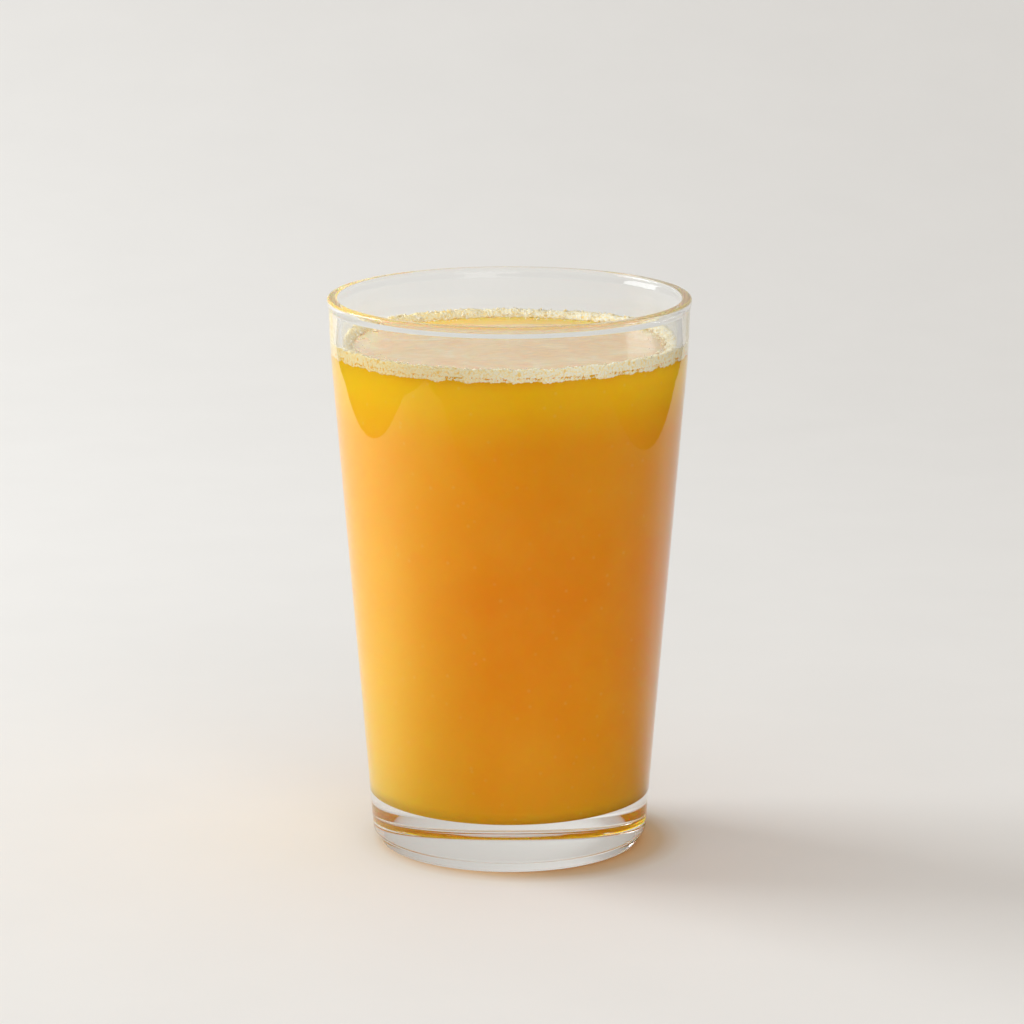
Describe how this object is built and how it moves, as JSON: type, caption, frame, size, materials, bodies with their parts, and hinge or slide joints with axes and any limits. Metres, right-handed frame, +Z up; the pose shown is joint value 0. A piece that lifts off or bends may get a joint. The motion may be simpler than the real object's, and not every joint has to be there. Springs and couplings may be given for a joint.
{
  "type": "glass of orange juice",
  "caption": "Tall conical drinking glass, wider at the rim, filled with orange juice almost to the top, with a thin ring of froth along the wall.",
  "frame": {"origin": "middle of the foot, on the surface that the glass stands on", "axes": "+Z up along the glass's axis; X and Y level, and alike, because the glass is round"},
  "size_m": [0.0764, 0.0764, 0.1173],
  "materials": {
    "glass": "clear, smooth",
    "juice": "opaque, wet",
    "froth": "fine bubbles"
  },
  "bodies": {
    "root": {"glass": "glass", "juice": "juice", "froth": "froth"}
  },
  "joints": []
}
